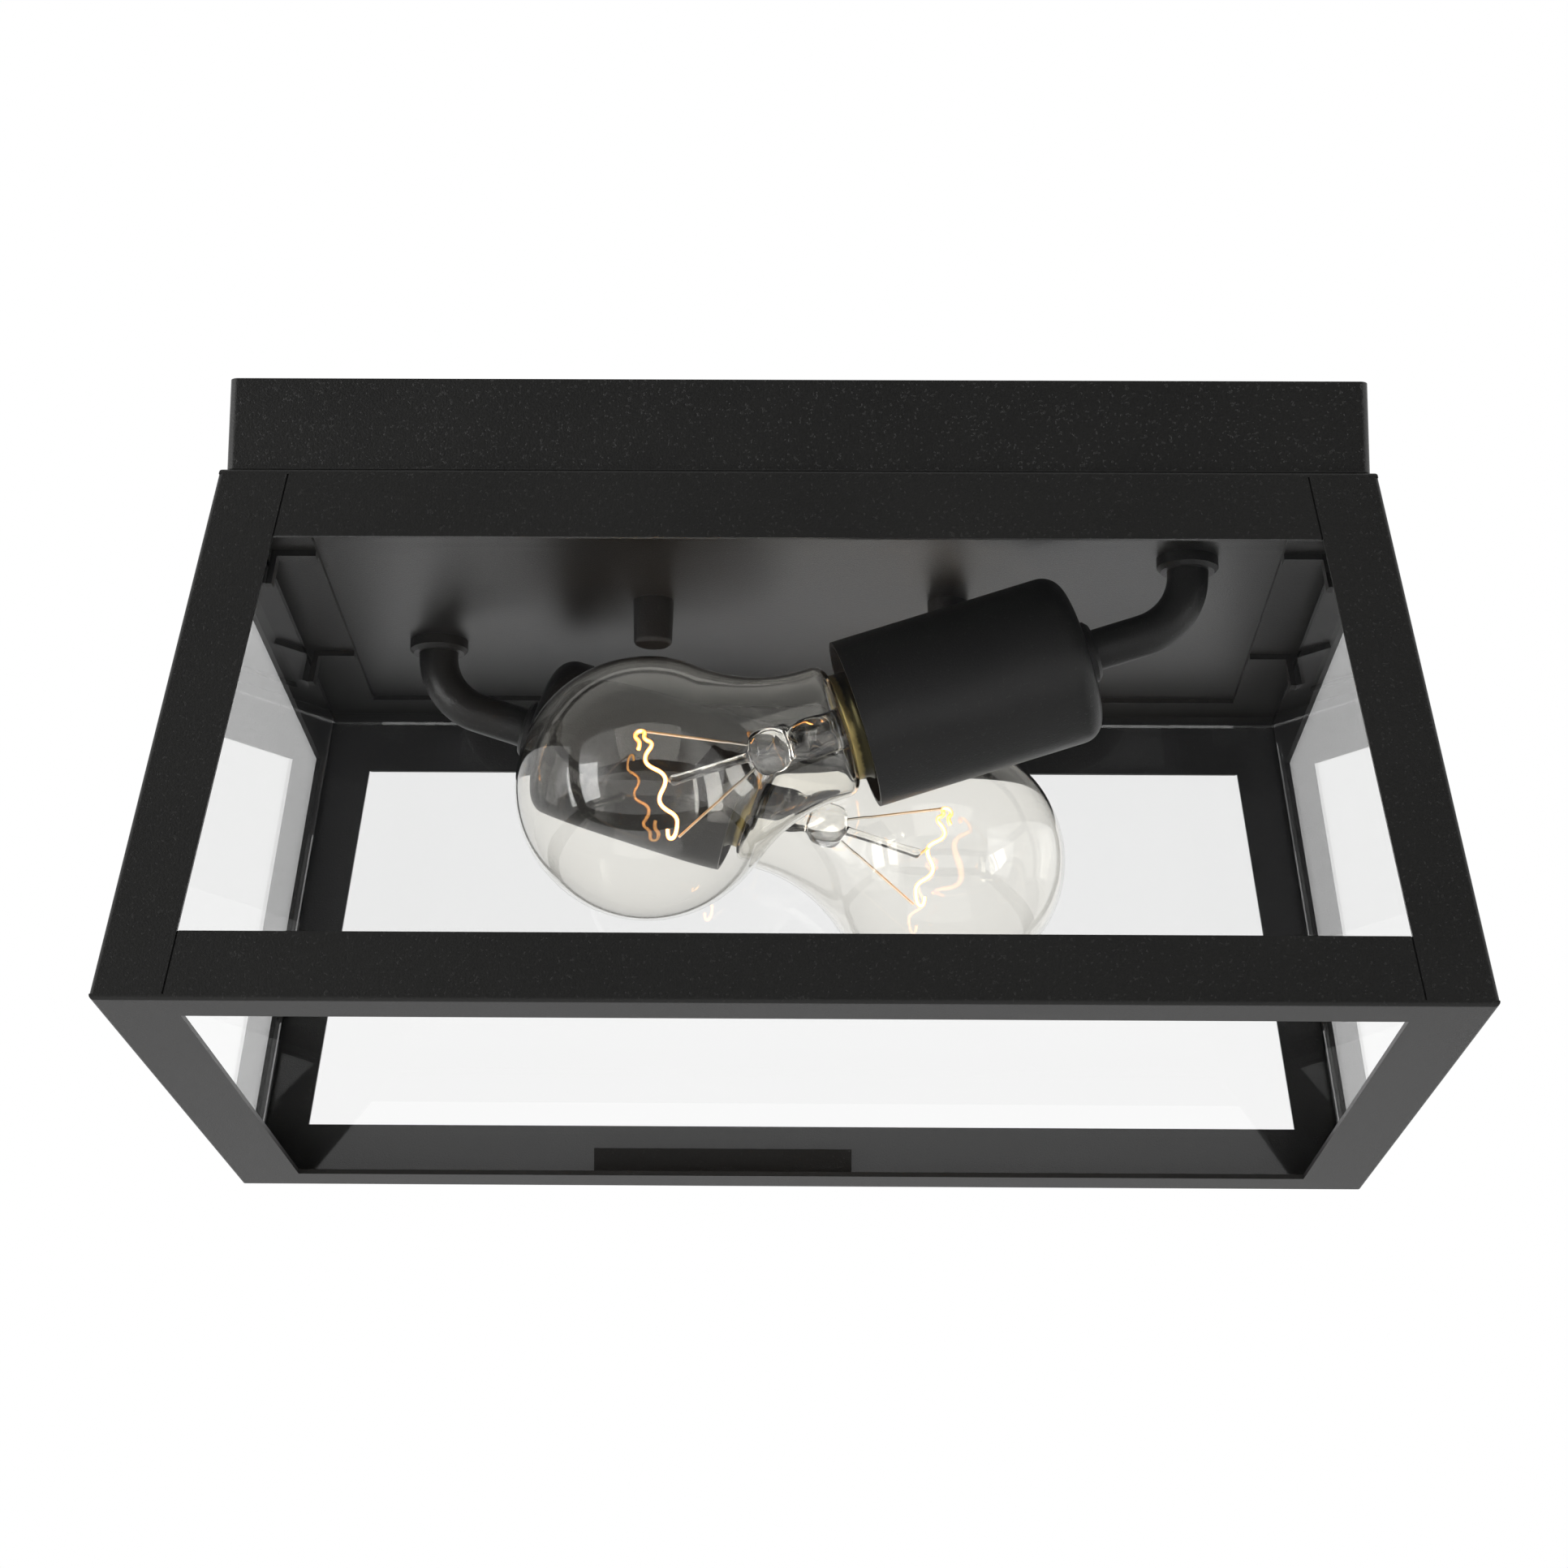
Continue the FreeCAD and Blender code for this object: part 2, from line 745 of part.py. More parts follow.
def filament_point(share):
    """A point of the filament's bow, from one end (0) to the other (1)."""
    across = (0.5 - share) * filament_span
    bow = filament_sag * (1.0 - (2.0 * share - 1.0) ** 2)
    return V(across, -bow, filament_reach)


def filament_points():
    """The bow with its zigzag, up and down along the lamp's axis."""
    points = [filament_point(0.0)]
    for i in range(1, filament_zigs):
        step = V(0, 0, filament_zigzag / 2.0 * (-1) ** i)
        points.append(filament_point(i / filament_zigs) + step)
    points.append(filament_point(1.0))
    return points


def bulb_filament():
    path = rounded_path(filament_points(), filament_bend_radius)
    return bent_rod(path, filament_wire_radius)


def button_anchor(towards):
    """The point on top of the stem's button where a lead-in wire leaves the glass."""
    spread = V(towards.x, towards.y, 0).normalize() * (wire_spread - wire_radius)
    return spread + V(0, 0, stem_button_reach)


def wire_between(start, end):
    """A straight wire, cut off square where it meets glass or filament."""
    run = end - start
    return Part.makeCylinder(wire_radius, run.Length, start, run)


def bulb_wires():
    """Two lead-in wires to the filament's ends and one support from the rod to its middle."""
    wires = []
    for share in (0.0, 1.0):
        held = filament_point(share)
        end = held - V(0, 0, wire_radius + filament_wire_radius)
        wires.append(wire_between(button_anchor(held), end))
    held = filament_point(0.5)
    end = held - V(0, 0, wire_radius + filament_wire_radius + filament_zigzag / 2.0)
    wires.append(wire_between(V(0, 0, stem_rod_reach), end))
    button = bulb_stem()
    return Part.makeCompound([solid_of(w.cut(button)) for w in wires])


def bulb_pieces(roll):
    """The pieces of one bulb in the front cup, turned about its axis as it was screwed in."""
    makers = {
        "glass": bulb_glass, "base": bulb_base, "insulator": bulb_insulator, "tip": bulb_tip,
        "stem": bulb_stem, "wires": bulb_wires, "filament": bulb_filament}
    pieces = {}
    for name, make in makers.items():
        shape = make()
        shape.rotate(V(0, 0, 0), V(0, 0, 1), roll)
        shape.translate(V(0, 0, bulb_proud))
        pieces[name] = in_front_cup(shape)
    return pieces


# ---------------------------------------------------------------- mounting

def slot_cutter(centre_x):
    """Cutter for one slot of the crossbar, round at both ends."""
    radius = box_slot_width / 2.0
    run = box_slot_length - box_slot_width
    low = V(centre_x - run / 2.0, -radius, -2 * crossbar_sheet)
    cutter = Part.makeBox(run, box_slot_width, 3 * crossbar_sheet, low)
    for side in (-1, 1):
        base = V(centre_x + side * run / 2.0, 0, -2 * crossbar_sheet)
        cutter = cutter.fuse(cylinder(radius, 3 * crossbar_sheet, base))
    return cutter


def mounting_crossbar():
    """Flat steel bar against the ceiling box, with slots, stud holes and a middle hole."""
    low = V(-crossbar_length / 2.0, -crossbar_width / 2.0, -crossbar_sheet)
    bar = Part.makeBox(crossbar_length, crossbar_width, crossbar_sheet, low)
    corners = [e for e in bar.Edges if e.BoundBox.ZLength > crossbar_sheet / 2.0]
    bar = bar.makeFillet(crossbar_end_radius, corners)
    deep = V(0, 0, -2 * crossbar_sheet)
    for side in (-1, 1):
        bar = bar.cut(slot_cutter(side * box_screw_spacing / 2.0))
        stud_x = V(side * stud_spacing / 2.0, 0, 0)
        bar = bar.cut(cylinder(stud_radius + fit_clearance, 3 * crossbar_sheet, deep + stud_x))
    bar = bar.cut(cylinder(nipple_radius, 3 * crossbar_sheet, deep))
    ground = deep + V(ground_x, 0, 0)
    bar = bar.cut(cylinder(ground_shank_radius + fit_clearance, 3 * crossbar_sheet, ground))
    return solid_of(bar)


def mounting_studs():
    """Two threaded studs from the crossbar down through the canopy floor."""
    low = floor_level - washer_thickness - stud_engagement
    studs = []
    for side in (-1, 1):
        studs.append(cylinder(stud_radius, -low, V(side * stud_spacing / 2.0, 0, low)))
    return Part.makeCompound(studs)


def stud_nuts():
    """Hex nuts that lock the studs under the crossbar."""
    nuts = []
    for side in (-1, 1):
        x = side * stud_spacing / 2.0
        base = V(x, 0, -crossbar_sheet - stud_nut_thickness)
        nut = hexagon(stud_nut_across_flats, stud_nut_thickness, base)
        nuts.append(nut.cut(cylinder(stud_radius + fit_clearance, canopy_height, V(x, 0, -canopy_height))))
    return Part.makeCompound(nuts)


def ground_screw():
    """Slotted green screw under the crossbar for the earth wire."""
    low = -crossbar_sheet - ground_head_thickness
    head = cylinder(ground_head_radius, ground_head_thickness, V(ground_x, 0, low))
    shank = cylinder(ground_shank_radius, crossbar_sheet, V(ground_x, 0, -crossbar_sheet))
    corner = V(ground_x - ground_head_radius, -ground_slot_width / 2.0, low)
    slot = Part.makeBox(2 * ground_head_radius, ground_slot_width, ground_slot_depth, corner)
    return solid_of(fuse([head, shank]).cut(slot))


def cap_washer(side):
    base = V(side * stud_spacing / 2.0, 0, floor_level - washer_thickness)
    disc = cylinder(cap_nut_radius, washer_thickness, base)
    hole = cylinder(stud_radius + cap_nut_thread_gap, 3 * washer_thickness, base - V(0, 0, washer_thickness))
    return disc.cut(hole)


def cap_nut(side):
    """Round closed nut, turned by hand, with a rounded end and a blind thread."""
    x = side * stud_spacing / 2.0
    top = floor_level - washer_thickness
    low = V(x, 0, top - cap_nut_length)
    body = Part.makeCone(cap_nut_radius - cap_nut_taper, cap_nut_radius, cap_nut_length, low)
    crown = [e for e in body.Edges if is_circle_at(e, top - cap_nut_length)]
    body = body.makeFillet(cap_nut_crown_radius, crown)
    bore = cylinder(stud_radius + cap_nut_thread_gap, cap_nut_bore_depth, V(x, 0, top - cap_nut_bore_depth))
    return solid_of(body.cut(bore))


# ---------------------------------------------------------------- assembly

def make_nodes():
    nodes = {"canopy_pan": canopy_pan()}
    for side_y, depth in ((-1, "front"), (1, "rear")):
        for side_x, hand in ((-1, "left"), (1, "right")):
            nodes["post_" + depth + "_" + hand] = corner_post(side_x, side_y)
    for place, shape in four_rails(frame_top, -1, top_rail_face, top_flange).items():
        nodes["top_rail_" + place] = shape
    for place, shape in four_rails(frame_bottom, 1, bottom_rail_face, bottom_flange).items():
        nodes["bottom_rail_" + place] = shape
    for place, shape in four_panes().items():
        nodes["pane_" + place] = shape
    nodes["pane_clips"] = pane_clips()
    nodes["rear_pane_stop"] = rear_pane_stop()
    on_both_lamps = {
        "arm": socket_arm(), "arm_flange": arm_flange(), "cup_collar": cup_collar(),
        "socket_cup": socket_cup(), "socket_body": socket_body(),
        "screw_shell": screw_shell(), "centre_contact": centre_contact()}
    for name, shape in on_both_lamps.items():
        nodes["front_" + name] = shape
        nodes["rear_" + name] = half_turn(shape)
    nodes["arm_lock_washers"] = pair(arm_lock_washer())
    nodes["arm_lock_nuts"] = pair(arm_lock_nut())
    for name, shape in bulb_pieces(front_bulb_roll_degrees).items():
        nodes["front_bulb_" + name] = shape
    for name, shape in bulb_pieces(rear_bulb_roll_degrees).items():
        nodes["rear_bulb_" + name] = half_turn(shape)
    nodes["mounting_crossbar"] = mounting_crossbar()
    nodes["mounting_studs"] = mounting_studs()
    nodes["stud_nuts"] = stud_nuts()
    nodes["ground_screw"] = ground_screw()
    for side, hand in ((-1, "left"), (1, "right")):
        nodes["cap_washer_" + hand] = cap_washer(side)
        nodes["cap_nut_" + hand] = cap_nut(side)
    return nodes


os.makedirs("parts", exist_ok=True)
for node_name, node_shape in make_nodes().items():
    if not node_shape.isValid():
        print("not valid:", node_name)
    node_shape.exportStep("parts/" + node_name + ".step")
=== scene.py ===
"""Looks of the porch ceiling lantern: finishes, bulbs, light and camera, in metres.

The ceiling plane is z = 0, the lantern hangs below it, and the camera looks up into it
from the front.
"""
import bpy
import json
import math
from mathutils import Matrix, Vector, noise


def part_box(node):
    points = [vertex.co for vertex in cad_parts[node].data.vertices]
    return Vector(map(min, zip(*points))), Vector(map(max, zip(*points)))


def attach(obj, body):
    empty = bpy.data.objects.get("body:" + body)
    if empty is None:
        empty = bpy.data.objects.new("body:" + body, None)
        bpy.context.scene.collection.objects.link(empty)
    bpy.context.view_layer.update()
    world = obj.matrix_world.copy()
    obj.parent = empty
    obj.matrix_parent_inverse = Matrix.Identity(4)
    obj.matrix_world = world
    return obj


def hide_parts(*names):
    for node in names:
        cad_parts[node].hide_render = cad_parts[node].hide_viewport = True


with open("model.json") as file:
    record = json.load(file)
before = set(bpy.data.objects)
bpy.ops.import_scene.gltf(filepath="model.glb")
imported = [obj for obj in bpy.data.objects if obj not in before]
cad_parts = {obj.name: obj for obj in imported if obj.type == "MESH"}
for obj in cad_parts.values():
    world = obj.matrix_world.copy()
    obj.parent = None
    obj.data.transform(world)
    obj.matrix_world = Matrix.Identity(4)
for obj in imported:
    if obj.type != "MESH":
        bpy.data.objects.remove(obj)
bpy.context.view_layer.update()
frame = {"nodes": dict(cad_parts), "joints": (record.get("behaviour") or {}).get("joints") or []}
nodes = frame["nodes"]
mm = 0.001


# ---------------------------------------------------------------- shader maths
# Finishes are written as sums of sockets, so that each one reads as a formula.

class Tone:
    """A socket in a shader: arithmetic on it adds the maths nodes that the sum needs."""

    def __init__(self, tree, socket):
        self.tree = tree
        self.socket = socket

    def node(self, kind, sockets, output=0, **settings):
        """Any other node, from its type, the values of its sockets and its settings."""
        made = self.tree.nodes.new(kind)
        for name, value in settings.items():
            setattr(made, name, value)
        for name, value in sockets.items():
            if isinstance(value, Tone):
                self.tree.links.new(value.socket, made.inputs[name])
            else:
                made.inputs[name].default_value = value
        return Tone(self.tree, made.outputs[output])

    def sum(self, operation, first, second):
        """One maths node: for numbers where both sides are numbers, or else for vectors."""
        pair = [first, second]
        if all(side.socket.type == "VALUE" for side in pair if isinstance(side, Tone)):
            return self.node("ShaderNodeMath", dict(enumerate(pair)), operation=operation)
        pair = [(side, side, side) if isinstance(side, (int, float)) else side for side in pair]
        number = 1 if operation in ("DISTANCE", "DOT_PRODUCT") else 0
        return self.node("ShaderNodeVectorMath", dict(enumerate(pair)), number, operation=operation)

    def __add__(self, other):
        return self.sum("ADD", self, other)

    def __radd__(self, other):
        return self.sum("ADD", other, self)

    def __sub__(self, other):
        return self.sum("SUBTRACT", self, other)

    def __rsub__(self, other):
        return self.sum("SUBTRACT", other, self)

    def __mul__(self, other):
        return self.sum("MULTIPLY", self, other)

    def __rmul__(self, other):
        return self.sum("MULTIPLY", other, self)

    def above(self, level, softness):
        """0 below the level and 1 above it, with a soft step between."""
        limits = {"Value": self, "From Min": level - softness, "From Max": level + softness}
        return self.node("ShaderNodeMapRange", limits, interpolation_type="SMOOTHSTEP")

    def blend(self, low, high):
        """The colour low where this is 0 and high where it is 1."""
        low, high = [end if isinstance(end, Tone) else (*end, 1.0) for end in (low, high)]
        return self.node("ShaderNodeMix", {0: self, 6: low, 7: high}, 2, data_type="RGBA")

    def grain(self, size, detail=2.0, roughness=0.5):
        """Cloudy noise from 0 to 1, whose patches are about size metres across."""
        look = {"Vector": self, "Scale": 1.0 / size, "Detail": detail, "Roughness": roughness}
        return self.node("ShaderNodeTexNoise", look)

    def relief(self, depth, strength):
        """A surface normal that this height, times depth in metres, gives."""
        bump = {"Height": self, "Distance": depth, "Strength": strength}
        return self.node("ShaderNodeBump", bump)


class Finish:
    """A material with one shader, and the place on the object that its patterns follow."""

    def __init__(self, name):
        self.material = bpy.data.materials.new(name)
        self.material.use_nodes = True
        self.tree = self.material.node_tree
        self.shader = self.tree.nodes["Principled BSDF"]
        self.place = self.from_node("ShaderNodeTexCoord", "Object")

    def from_node(self, kind, output):
        """What a node without inputs gives."""
        return Tone(self.tree, self.tree.nodes.new(kind).outputs[output])

    def set(self, sockets):
        for name, value in sockets.items():
            if isinstance(value, Tone):
                self.tree.links.new(value.socket, self.shader.inputs[name])
            else:
                self.shader.inputs[name].default_value = value

    def turned(self):
        """The way the surface faces, with z up."""
        return self.from_node("ShaderNodeNewGeometry", "True Normal")

    def on(self, *names):
        """Gives this finish to CAD nodes."""
        for name in names:
            for place in nodes[name].material_slots:
                place.material = self.material


# ---------------------------------------------------------------- black powder coat
# Folded sheet steel, sprayed with a fine-textured black powder and baked: a fine orange
# peel with scattered specks, raised and also painted lighter as tiny painted highlights.
# On the flat canopy pan it flows out smoother than elsewhere.

def powder(name, roughness, sheen):
    """One coat of black powder, from how rough it cures and how strongly it reflects."""
    coat = Finish(name)
    peel = coat.place.grain(0.45 * mm, 3.0, 0.6)
    cloud = coat.place.grain(30 * mm, 2.0)
    speck_and_highlight = coat.place.grain(0.7 * mm, 1.0).above(0.70, 0.03)
    # The specks lift the base colour as tiny painted highlights; in the normal they are real raised
    # grains.
    shade = peel * 0.55 + cloud * 0.3 + speck_and_highlight * 0.4
    coat.set({
        "Base Color": shade.blend((0.006, 0.006, 0.0058), (0.024, 0.0236, 0.0222)),
        "Roughness": roughness + peel * 0.12,
        "Specular IOR Level": sheen,
        "Normal": (peel + speck_and_highlight * 0.6).relief(0.14 * mm, 0.6)})
    return coat


coat = powder("black_powder_coat", 0.34, 0.40)
smooth_coat = powder("black_powder_smooth", 0.27, 0.60)
for name, node in nodes.items():
    if node.material_slots[0].material.name == "black_powder_coat":
        coat.on(name)
smooth_coat.on("canopy_pan")


# ---------------------------------------------------------------- window glass
# Four sheets of clear float glass, 3 mm thick, held by bent clips behind posts and rails.
# Their ground upper edges are dull, and are painted dark grey as the painted shade under the top rail.

pane = Finish("window_glass")
haze = pane.place.grain(60 * mm, 2.0)
ground_and_shaded_top_edge = pane.place.node("ShaderNodeSeparateXYZ", {"Vector": pane.turned()}, "Z").above(0.6, 0.1)
clean = haze.blend((0.984, 0.985, 0.984), (0.972, 0.974, 0.972))
pane.set({
    # Painted shade: the upward-facing top edges are painted dark grey; their higher roughness is the
    # ground finish.
    "Base Color": ground_and_shaded_top_edge.blend(clean, (0.2, 0.22, 0.21)),
    "Roughness": haze * 0.004 + ground_and_shaded_top_edge * 0.5,
    "Transmission Weight": 1.0,
    "IOR": 1.5})
pane.on("pane_front", "pane_rear", "pane_left", "pane_right")


# ---------------------------------------------------------------- steel, brass and porcelain
# What the canopy and the cups hide: the zinc-plated crossbar, studs and nuts, the green
# ground screw, and the rolled brass and white porcelain of each socket.

zinc = Finish("zinc_steel")
bloom = zinc.place.grain(6 * mm, 4.0, 0.6)
zinc.set({
    "Base Color": bloom.blend((0.52, 0.53, 0.55), (0.72, 0.72, 0.70)),
    "Metallic": 1.0,
    "Roughness": 0.28 + bloom * 0.2})
zinc.on("mounting_crossbar", "mounting_studs", "stud_nuts", "arm_lock_nuts", "arm_lock_washers")

green = Finish("green_screw")
wear = green.place.grain(1.5 * mm, 3.0)
green.set({
    "Base Color": wear.blend((0.02, 0.20, 0.07), (0.05, 0.34, 0.14)),
    "Metallic": 0.6,
    "Roughness": 0.35 + wear * 0.15})
green.on("ground_screw")

brass = Finish("brass")
tarnish = brass.place.grain(3 * mm, 4.0, 0.6)
brass.set({
    "Base Color": tarnish.blend((0.36, 0.28, 0.11), (0.62, 0.49, 0.24)),
    "Metallic": 1.0,
    "Roughness": 0.24 + tarnish * 0.2})
brass.on("front_screw_shell", "rear_screw_shell", "front_centre_contact", "rear_centre_contact")

porcelain = Finish("glazed_porcelain")
glaze = porcelain.place.grain(8 * mm, 3.0)
porcelain.set({
    "Base Color": glaze.blend((0.80, 0.79, 0.75), (0.88, 0.87, 0.83)),
    "Roughness": 0.12 + glaze * 0.08})
porcelain.on("front_socket_body", "rear_socket_body")


# ---------------------------------------------------------------- bulb places
# Both bulbs are alike. Each is drawn about its own axis, with z = 0 where glass and brass
# meet, and then set in its cup. The rear one was screwed in a little further round.

ball_radius = 30 * mm
ball_reach = 46.4 * mm


def bulb_place(side, roll):
    """Where one bulb stands: its axis is the way it comes out, its ball is the CAD one."""
    low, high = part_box(side + "_bulb_glass")
    radius = (high.y - low.y) / 2.0
    slide = [j for j in frame["joints"] if j["child"] == side + "_bulb"][0]
    axis = Vector(slide["axis"]).normalized()
    ball_x = low.x + radius if axis.x < 0 else high.x - radius
    ball = Vector((ball_x, (low.y + high.y) / 2.0, low.z + radius))
    across = Vector((axis.z, 0, -axis.x)) if axis.x < 0 else Vector((-axis.z, 0, axis.x))
    turn = Matrix((across, axis.cross(across), axis)).transposed().to_4x4()
    foot = ball - axis * ball_reach
    return Matrix.Translation(foot) @ turn @ Matrix.Rotation(math.radians(roll), 4, "Z")


places = {"front": bulb_place("front", 0), "rear": bulb_place("rear", 35)}


def new_piece(name, points, faces, finish):
    """A smooth mesh piece from its points and faces, in metres."""
    mesh = bpy.data.meshes.new(name)
    mesh.from_pydata([tuple(p) for p in points], [], faces)
    mesh.materials.append(finish.material)
    mesh.polygons.foreach_set("use_smooth", [True] * len(mesh.polygons))
    mesh.update()
    piece = bpy.data.objects.new(name, mesh)
    bpy.context.scene.collection.objects.link(piece)
    return piece


def lathe(name, outline, finish, sides=128, shape=None):
    """An outline of (radius, height) pairs turned about z; shape may move each point."""
    points = []
    for radius, height in outline:
        for i in range(sides):
            turn = 2 * math.pi * i / sides
            point = Vector((radius * math.cos(turn), radius * math.sin(turn), height))
            points.append(shape(point, turn) if shape else point)
    faces = []
    for row in range(0, (len(outline) - 1) * sides, sides):
        for i in range(sides):
            after = (i + 1) % sides
            faces.append((row + i, row + after, row + sides + after, row + sides + i))
    return new_piece(name, points, faces, finish)


def arc(centre, radius, start, end, steps):
    """Points of an arc in the (radius, height) plane, angles in degrees."""
    for i in range(steps + 1):
        turn = math.radians(start + (end - start) * i / steps)
        yield (centre[0] + radius * math.cos(turn), centre[1] + radius * math.sin(turn))


def seat(piece, side, slot, *replaced):
    """Puts a bulb's piece in its place, on its body, for the CAD nodes that it stands for."""
    piece.matrix_world = places[side]
    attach(piece, side + "_bulb")
    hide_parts(*[side + "_bulb_" + name for name in replaced])


# ---------------------------------------------------------------- bulb glass
# Soda-lime glass blown in a mould: a 60 mm ball that runs into the neck in one hollow curve,
# clear, thin, with slow waves that bend what is seen through it.

clear = Finish("bulb_glass")
wave = clear.place.grain(18 * mm, 1.0)
clear.set({
    # Painted light: the warm tint stands in for the warm light of the glowing filaments.
    "Base Color": wave.blend((0.996, 0.989, 0.964), (0.986, 0.974, 0.940)),
    "Roughness": wave * 0.003,
    "Transmission Weight": 1.0,
    "IOR": 1.43})


def envelope(shrink):
    """The glass from neck to crown, moved inwards by shrink."""
    neck, straight, plug, shoulder = 15.4 * mm, 5 * mm, 11.2 * mm, 3.2 * mm
    rise = ball_reach - straight
    hollow = (rise * rise + neck * neck - ball_radius * ball_radius) / (2 * (ball_radius - neck))
    joint = math.degrees(math.atan2(rise, -(neck + hollow)))
    yield (plug - shrink, -8 * mm)
    yield (plug - shrink, shrink - 0.3 * mm)
    yield from arc((neck - shoulder, shoulder), shoulder - shrink, -90, 0, 14)
    yield from arc((neck + hollow, straight), hollow + shrink, 180, joint, 40)
    start = math.degrees(math.atan2(-rise, neck + hollow))
    yield from list(arc((0, ball_reach), ball_radius - shrink, start, 90, 90))[1:-1]
    yield (0.02 * mm, ball_reach + ball_radius - shrink)


def ripple(point, turn):
    """Slow waves of blown glass, a few hundredths of a millimetre deep."""
    out = Vector((math.cos(turn), math.sin(turn), 0))
    return point + out * noise.noise(point * 90) * 0.06 * mm


wall = 0.55 * mm
bulb_section = list(envelope(wall))[::-1] + list(envelope(0.0))
for side in places:
    blown = lathe(side + "_bulb_envelope", bulb_section, clear, 160, ripple)
    blown.visible_shadow = False
    seat(blown, side, "bulb_glass", "glass")


# ---------------------------------------------------------------- stem
# The drawn glass stem inside the neck: a flare sealed to the envelope, a tube that is
# pressed flat on its wires, and a button with a thin rod that carries the middle support.

def pressed(point, turn):
    """The pinch is flat one way and wide the other, and hand-worked glass is uneven."""
    pinch = math.exp(-((point.z - 9.5 * mm) / (3.2 * mm)) ** 2)
    swell = Vector((point.x * (1 + 0.35 * pinch), point.y * (1 - 0.5 * pinch), point.z))
    return swell + noise.noise_vector(swell * 320) * 0.28 * mm


flare = [(10.4, -7.8), (9.6, -7.0), (7.6, -4.6), (5.4, -2.0)]
tube = [(4.7, 0.5), (4.5, 4.0), (4.3, 7.0), (3.6, 9.5), (2.9, 12.0), (3.0, 13.3)]
button = [(4.3, 14.2), (5.2, 15.4), (5.4, 17.4), (5.3, 19.6), (4.6, 21.2), (3.0, 22.0)]
rod = [(1.3, 22.3), (1.1, 23.0), (1.05, 29.0), (1.0, 39.4), (1.25, 40.2), (1.05, 41.0), (0.02, 41.3)]
stem_section = [(r * mm, z * mm) for r, z in flare + tube + button + rod]
for side in places:
    stem = lathe(side + "_bulb_stem_glass", stem_section, clear, 48, pressed)
    rounding = stem.modifiers.new("rounding", "SUBSURF")
    rounding.levels = 2
    rounding.render_levels = 2
    stem.visible_shadow = False
    seat(stem, side, "bulb_glass", "stem")


# ---------------------------------------------------------------- screw base
# Thin brass rolled to a screw thread and crimped on the glass, closed by black glass
# around the solder contact. Only its bright top edge shows at the mouth of the cup; below
# it the brass is painted near black as painted shade from the cup.

def thread(point, turn):
    """The screw's crest climbs once a turn and fades out at both ends."""
    top, low, fade, pitch, depth = -2.2 * mm, -20.35 * mm, 1.5 * mm, 3.63 * mm, 0.8 * mm
    below = min(1.0, max(0.0, (top - point.z) / fade))
    above = min(1.0, max(0.0, (point.z - low) / fade))
    phase = 2 * math.pi * point.z / pitch - turn
    lift = depth / 2 * (1 - math.cos(phase)) * below * above
    return point + Vector((math.cos(turn), math.sin(turn), 0)) * lift


cap = Finish("bulb_brass")
stain_and_shade_edge = cap.place.grain(1.6 * mm, 4.0, 0.65)
height = cap.place.node("ShaderNodeSeparateXYZ", {"Vector": cap.place}, "Z")
# Painted shade: below its top edge the brass is painted near black for the shade inside the cup; the
# stain noise wobbles where it begins.
rim_above_painted_shade = (height + stain_and_shade_edge * 1.2 * mm).above(-0.7 * mm, 0.5 * mm)
cap.set({
    "Base Color": rim_above_painted_shade.blend((0.055, 0.048, 0.022), (0.50, 0.40, 0.16)),
    "Metallic": 1.0,
    "Roughness": 0.26 + stain_and_shade_edge * 0.25})

skirt = [(11.9, -0.15), (12.25, 0.0), (12.4, -0.25), (12.3, -0.9), (12.3, -2.2)]
roll = [(12.3, -2.2 - 0.3 * i) for i in range(1, 61)]
foot = [(12.2, -20.5), (10.6, -21.2), (9.4, -21.4)]
base_section = [(r * mm, z * mm) for r, z in skirt + roll + foot]
for side in places:
    screw = lathe(side + "_bulb_screw_base", base_section, cap, 96, thread)
    seat(screw, side, "brass", "base")

vitrite = Finish("black_vitrite")
swirl = vitrite.place.grain(2 * mm, 2.0)
vitrite.set({
    "Base Color": swirl.blend((0.008, 0.008, 0.012), (0.02, 0.02, 0.026)),
    "Roughness": 0.08 + swirl * 0.08})
vitrite.on("front_bulb_insulator", "rear_bulb_insulator")

solder = Finish("solder")
drop = solder.place.grain(1.2 * mm, 3.0)
solder.set({
    "Base Color": drop.blend((0.48, 0.48, 0.47), (0.68, 0.68, 0.66)),
    "Metallic": 1.0,
    "Roughness": 0.32 + drop * 0.2})
solder.on("front_bulb_tip", "rear_bulb_tip")


# ---------------------------------------------------------------- filament and its wires
# Coiled tungsten hung in a bow between two lead-in wires, kinked where it was bent over
# them. It is lit: white-hot in the middle of the wire and orange at its edge.

glow = Finish("glowing_filament")
edge = glow.place.node("ShaderNodeLayerWeight", {"Blend": 0.5}, "Facing").above(0.38, 0.32)
coil = glow.place.grain(0.5 * mm, 2.0)
glow.set({
    "Base Color": coil.blend((0.9, 0.4, 0.1), (1.0, 0.6, 0.2)),
    "Roughness": 0.5,
    "Emission Color": edge.blend((1.0, 0.62, 0.22), (0.42, 0.085, 0.006)),
    "Emission Strength": 6.0})

